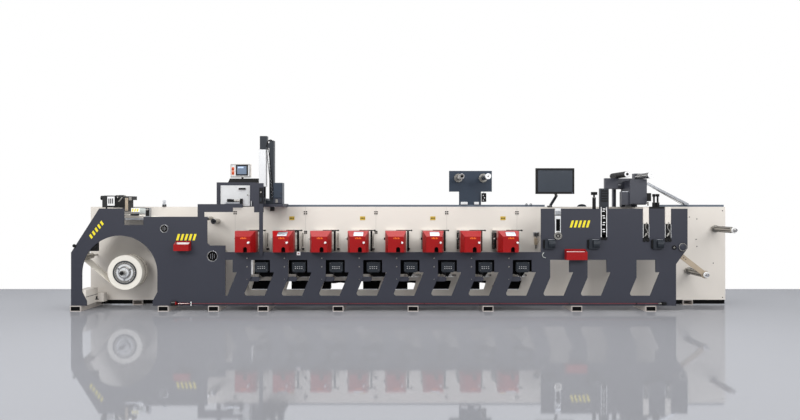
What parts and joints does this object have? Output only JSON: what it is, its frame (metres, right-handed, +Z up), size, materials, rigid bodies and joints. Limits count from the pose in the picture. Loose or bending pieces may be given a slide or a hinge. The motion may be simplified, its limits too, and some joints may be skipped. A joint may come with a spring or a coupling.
{
  "type": "flexographic printing press",
  "caption": "Long floor-standing label press: paper roll in an arched side plate, red print units in line, die stations, cantilevered rewind shafts and a full-length back wall.",
  "frame": {"origin": "on the floor, at the middle of the underside of the middle foot beam", "axes": "+X along the press from unwinder to rewinder, +Y from the operator side to the drive side, +Z up"},
  "size_m": [10.105, 1.306, 2.646],
  "materials": {
    "plate_paint": "satin dark slate",
    "wall_paint": "satin cream",
    "steel": "turned and brushed",
    "rail_metal": "anodised",
    "paper": "matt label stock",
    "machine_grey": "satin blue grey",
    "lamp": "clear lens on a black base",
    "red_paint": "gloss red",
    "black_paint": "semi-matt black",
    "chromed": "ground and plated",
    "blue_grey": "satin blue grey",
    "black_plastic": "fine texture",
    "red_cord": "sheathed steel rope"
  },
  "bodies": {
    "press_frame": {"anilox_rollers": "chromed", "cabinet_hood": "black_paint", "cable_tray": "rail_metal", "control_cabinet": "plate_paint", "cord_fittings": "steel", "die_carriages": "black_paint", "die_cylinders": "chromed", "die_drive_heads": "machine_grey", "die_knobs": "black_paint", "die_side_plate_1": "plate_paint", "die_side_plate_2": "plate_paint", "film_plate": "blue_grey", "foot_beams": "wall_paint", "impression_cylinders": "steel", "ink_trays": "steel", "lower_back_wall": "wall_paint", "mast_base": "plate_paint", "mast_column": "wall_paint", "mast_frame": "machine_grey", "mast_motor": "blue_grey", "matrix_frame": "plate_paint", "matrix_roller_bar": "black_paint", "monitor_arm": "machine_grey", "paper_web": "paper", "plate_cylinders": "chromed", "print_covers": "red_paint", "print_rear_plates": "wall_paint", "print_side_plate_1": "plate_paint", "print_side_plate_2": "plate_paint", "print_side_plate_3": "plate_paint", "print_side_plate_4": "plate_paint", "pull_cord": "red_cord", "rear_covers": "wall_paint", "rear_doors": "plate_paint", "rear_motors": "black_paint", "shaft_bearings": "steel", "shaft_support_arm": "rail_metal", "signal_lamp": "lamp", "splice_table": "rail_metal", "station_chutes": "black_paint", "station_drive_boxes": "machine_grey", "station_rollers": "steel", "tie_bars": "steel", "tool_trays": "red_paint", "top_rails": "machine_grey", "unwind_base_box": "wall_paint", "unwind_side_plate": "plate_paint", "upper_back_wall": "wall_paint", "web_guide": "machine_grey", "web_rollers": "steel"},
    "unwind_spindle": {"unwind_shaft": "steel", "paper_roll": "paper"},
    "upper_rewind_spindle": {"upper_rewind_shaft": "steel"},
    "lower_rewind_spindle": {"lower_rewind_shaft": "steel"},
    "matrix_rewind_spindle": {"matrix_rewind_shaft": "steel"},
    "film_spool_left": {"film_spindle_left": "steel"},
    "film_spool_right": {"film_spindle_right": "steel"},
    "cabinet_door": {"cabinet_door": "wall_paint"},
    "monitor_head": {"monitor": "black_plastic"},
    "control_panel": {"control_panel": "wall_paint"}
  },
  "joints": [
    {"name": "unwind_spin", "type": "hinge", "parent": "press_frame", "child": "unwind_spindle", "pos_m": [-4.386, -0.2, 0.562], "axis": [0, 1, 0], "continuous": true},
    {"name": "upper_rewind_spin", "type": "hinge", "parent": "press_frame", "child": "upper_rewind_spindle", "pos_m": [4.802, -0.2, 1.213], "axis": [0, 1, 0], "continuous": true},
    {"name": "lower_rewind_spin", "type": "hinge", "parent": "press_frame", "child": "lower_rewind_spindle", "pos_m": [4.384, -0.2, 0.546], "axis": [0, 1, 0], "continuous": true},
    {"name": "matrix_rewind_spin", "type": "hinge", "parent": "press_frame", "child": "matrix_rewind_spindle", "pos_m": [3.56, -0.2, 2.036], "axis": [0, 1, 0], "continuous": true},
    {"name": "film_left_spin", "type": "hinge", "parent": "press_frame", "child": "film_spool_left", "pos_m": [0.732, -0.2, 2.02], "axis": [0, 1, 0], "continuous": true},
    {"name": "film_right_spin", "type": "hinge", "parent": "press_frame", "child": "film_spool_right", "pos_m": [1.125, -0.2, 2.02], "axis": [0, 1, 0], "continuous": true},
    {"name": "cabinet_door_swing", "type": "hinge", "parent": "press_frame", "child": "cabinet_door", "pos_m": [-3.0623, 0.1487, 1.75], "axis": [0, 0, -1], "range_deg": [0, 110]},
    {"name": "monitor_swivel", "type": "hinge", "parent": "press_frame", "child": "monitor_head", "pos_m": [2.228, -0.049, 1.907], "axis": [0, 0, 1], "range_deg": [-30, 30]},
    {"name": "control_panel_swivel", "type": "hinge", "parent": "press_frame", "child": "control_panel", "pos_m": [-2.727, 0.23, 2.034], "axis": [0, 0, 1], "range_deg": [-45, 45]}
  ]
}
